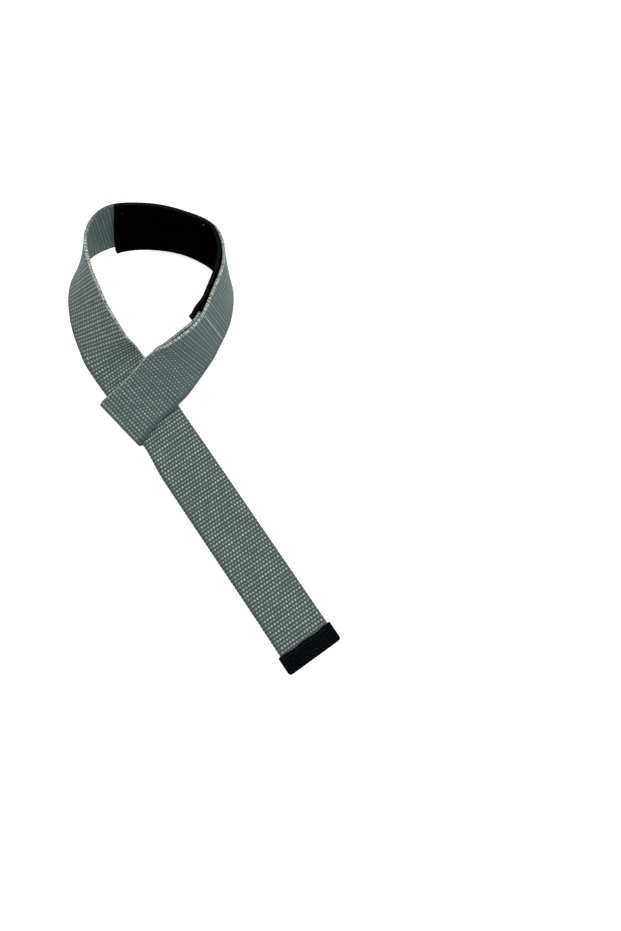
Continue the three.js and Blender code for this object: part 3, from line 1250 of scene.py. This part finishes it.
@dataclass
class TipBinding:
    """The tape folded over the tail's tip."""

    path: StrapPath
    finish: TapeFinish
    turn_steps: int = 8
    leg_steps: int = 12
    flat_steps: int = 30
    corner_steps: int = 2
    waver: float = 0.2 * MM
    waver_pitch: float = 17 * MM

    def build(self) -> bpy.types.Object:
        """Builds the tape's mesh.

        Returns:
            The object.
        """
        sizes = self.path.sizes
        tip = self.path.sections(np.array([0.0]))
        way = unit(tip.travel[0] * np.array([1, 1, 0]))
        radius = 0.5 * sizes.webbing_thickness + sizes.clearance + 0.5 * sizes.tape_thickness
        turned, face = half_turn(tip.at[0], -way, radius, self.turn_steps)
        legs = np.linspace(sizes.tape_reach, 0, self.leg_steps + 1)[:-1, None] * way
        at = np.concatenate([turned[0] + legs, turned, turned[-1] + legs[::-1]])
        face = np.pad(face, ((len(legs), len(legs)), (0, 0)), mode="edge")
        steps = np.linalg.norm(np.diff(at, axis=0), axis=1)
        distance = np.concatenate([[0], np.cumsum(steps)])
        half = 0.5 * sizes.tape_thickness
        corner = 0.5 * sizes.tape_overhang
        outline = Outline.strip(half, self.flat_steps, corner, self.corner_steps, 0, half)
        drawn_in = sizes.tape_corner * (1 - abs(face[:, 2]))
        reach = 0.5 * sizes.webbing_width + sizes.tape_overhang - drawn_in
        t = outline.across * (reach[:, None] - corner) + outline.rounding
        across = -tip.across[0]
        points = at[:, None] + across * t[..., None] + face[:, None] * outline.height[None, :, None]
        bowed = self.waver * np.cos(FULL_TURN * t / self.waver_pitch) * abs(face[:, 2])[:, None]
        points = points + way * (bowed - self.waver)[..., None]
        share = np.broadcast_to(outline.share, t.shape)
        place = np.stack([t, np.broadcast_to(distance[:, None], t.shape), share], axis=-1)
        piece = lofted("tip_binding_tape", points, place)
        piece.data.materials.append(self.finish.material())
        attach(piece, "root")
        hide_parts("tip_binding")
        return piece


@dataclass
class SeamRow:
    """A row of lockstitches across the strap's outer face, all copies of one stitch."""

    path: StrapPath
    name: str
    slot: str
    finish: ThreadFinish
    along: float
    height: float  # of the surface that it is sewn into, over the webbing's middle
    reach: float
    thread: float = 0.55 * MM
    stitch: float = 2.1 * MM
    gap: float = 0.45 * MM
    level_share: float = 0.3  # of the stitch's length, each way from its middle, before it dives
    dive_share: float = 0.4  # of the thread's thickness
    proud_share: float = 0.1
    segments: int = 10
    rings: int = 8

    def _model(self) -> bpy.types.Object:
        """One stitch: a thread that dives into the cloth at both ends.

        Returns:
            The stitch, along X and up Z from the origin.
        """
        bpy.ops.object.select_all(action="DESELECT")
        bpy.ops.mesh.primitive_uv_sphere_add(segments=self.segments, ring_count=self.rings,
                                             radius=0.5 * self.thread)
        stitch = bpy.context.object
        bpy.ops.object.mode_set(mode="EDIT")
        bpy.ops.mesh.select_all(action="SELECT")
        bpy.ops.transform.resize(value=(self.stitch / self.thread, 1, 1))
        bpy.ops.mesh.select_all(action="DESELECT")
        bpy.ops.object.mode_set(mode="OBJECT")
        # Vertices are picked outside edit mode, because it keeps its own copy of the mesh.
        for vertex in stitch.data.vertices:
            vertex.select = abs(vertex.co.x) > self.level_share * self.stitch
        bpy.ops.object.mode_set(mode="EDIT")
        bpy.ops.transform.translate(value=(0, 0, -self.dive_share * self.thread))
        bpy.ops.object.mode_set(mode="OBJECT")
        bpy.ops.object.shade_smooth()
        return stitch

    def build(self) -> bpy.types.Object:
        """Copies the stitch along the row and joins the copies.

        Returns:
            The object.
        """
        model = self._model()
        section = self.path.sections(np.array([self.along]))
        across, face = section.across[0], section.face[0]
        turn = np.column_stack([across, np.cross(face, across), face])
        middle = section.at[0] + face * (self.height + self.proud_share * self.thread)
        pitch = self.stitch + self.gap
        count = int(2 * self.reach / pitch)
        copies = []
        for place in (np.arange(count) - 0.5 * (count - 1)) * pitch:
            copy = model.copy()
            copy.data = model.data.copy()
            bpy.context.scene.collection.objects.link(copy)
            for vertex in copy.data.vertices:
                vertex.co = turn @ np.array(vertex.co) + middle + across * place
            copies.append(copy)
        bpy.data.objects.remove(model)
        bpy.ops.object.select_all(action="DESELECT")
        for copy in copies:
            copy.select_set(True)
        bpy.context.view_layer.objects.active = copies[0]
        bpy.ops.object.join()
        row = bpy.context.object
        row.name = self.name
        row.data.materials.append(self.finish.material())
        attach(row, "root")
        return row


@dataclass
class Studio:
    """The floor, the light and the camera."""

    floor_size: float = 6.0
    camera_place: tuple[float, float, float] = (0.0738, -0.0845, 0.4096)
    camera_tilt: float = 9.5  # degrees off straight down
    focal_pixels: float = 600.0
    picture_height: float = 931.0
    sensor: float = 36.0
    nearest: float = 10 * MM
    sky: float = 0.62
    key_power: float = 13.0
    key_size: float = 1.6
    key_place: tuple[float, float, float] = (0.3, 0.35, 1.6)

    def build(self) -> None:
        """Builds the floor, the lights and the camera."""
        self._floor()
        self._light()
        self._camera()

    def _floor(self) -> None:
        """The plain floor at the strap's resting height."""
        bpy.ops.mesh.primitive_plane_add(size=self.floor_size)
        floor = bpy.context.object
        floor.name = "floor"
        floor.data.materials.append(FloorFinish().material())

    def _light(self) -> None:
        """A white surround and one large soft light."""
        scene = bpy.context.scene
        world = bpy.data.worlds.new("studio_surround")
        world.use_nodes = True
        background = world.node_tree.nodes["Background"]
        background.inputs["Color"].default_value = (1, 1, 1, 1)
        background.inputs["Strength"].default_value = self.sky
        scene.world = world
        light = bpy.data.lights.new("key_softbox", "AREA")
        light.shape = "SQUARE"
        light.size = self.key_size
        light.energy = self.key_power
        key = bpy.data.objects.new("key_softbox", light)
        scene.collection.objects.link(key)
        key.location = self.key_place
        reach = math.hypot(self.key_place[0], self.key_place[1])
        key.rotation_euler = (math.atan2(reach, self.key_place[2]), 0,
                              math.atan2(-self.key_place[0], self.key_place[1]) + math.pi)
        scene.view_settings.view_transform = "Standard"

    def _camera(self) -> None:
        """The camera at the photograph's place above the strap."""
        data = bpy.data.cameras.new("camera")
        data.sensor_width = self.sensor
        data.lens = self.focal_pixels * self.sensor / self.picture_height
        data.clip_start = self.nearest
        camera = bpy.data.objects.new("camera", data)
        bpy.context.scene.collection.objects.link(camera)
        camera.location = self.camera_place
        camera.rotation_euler = (math.radians(self.camera_tilt), 0, 0)
        bpy.context.scene.camera = camera


def place_on_frame(path: StrapPath, samples: int = 600) -> None:
    """Moves the path so that the webbing's middle is where the frame has it.

    Args:
        path: the strap's path, which starts with the crossing at its origin.
        samples: the number of sections that are measured.
    """
    sizes = path.sizes
    run = path.sections(np.linspace(0, sizes.fold_along, samples))
    corners = []
    for inset, half in ((0, 0.5 * sizes.selvedge_thickness),
                        (sizes.selvedge_width, 0.5 * sizes.webbing_thickness)):
        for height in (half, -half):
            corners.append(run.at + run.across * (run.inner - inset)[:, None] + run.face * height)
            corners.append(run.at - run.across * (run.outer - inset)[:, None] + run.face * height)
    corners = np.concatenate(corners)
    low, high = (np.array(corner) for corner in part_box("webbing"))
    path.origin = 0.5 * (low + high) - 0.5 * (corners.min(0) + corners.max(0))
    path.origin[2] = 0.0
    LOG.info("crossing at %s mm", np.round(path.origin / MM, 2))


def main() -> None:
    """Builds the strap's pieces and the studio in order."""
    logging.basicConfig(level=logging.INFO)
    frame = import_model()
    LOG.info("frame with nodes %s", sorted(frame["nodes"]))
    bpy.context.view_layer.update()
    bpy.ops.object.select_all(action="DESELECT")
    sizes = StrapSizes()
    path = StrapPath(sizes)
    place_on_frame(path)
    Studio().build()
    weave = WeaveSizes()
    half = 0.5 * sizes.webbing_thickness
    pale = ThreadFinish("pale_sewing_thread", light="#e6ede8", dark="#b4beb6")
    black = ThreadFinish("black_sewing_thread", light="#1b1d21", dark="#08090b")
    tape_top = half + sizes.clearance + sizes.tape_thickness
    pieces = (
        Webbing(path, weave, WebbingFinish(sizes, weave)),
        WristPad(path, PadFinish(sizes)),
        TipBinding(path, TapeFinish()),
        SeamRow(path, "turnback_stitches", "webbing", pale, height=half,
                along=sizes.turnback_end + TURNBACK_SEAM_INSET, reach=0.45 * sizes.webbing_width),
        SeamRow(path, "binding_stitches", "binding", black, height=tape_top,
                along=sizes.tape_reach - TAPE_SEAM_INSET, reach=0.47 * sizes.webbing_width),
    )
    for piece in pieces:
        made = piece.build()
        LOG.info("%s: %d faces", made.name, len(made.data.polygons))


if __name__ == "__main__":
    main()
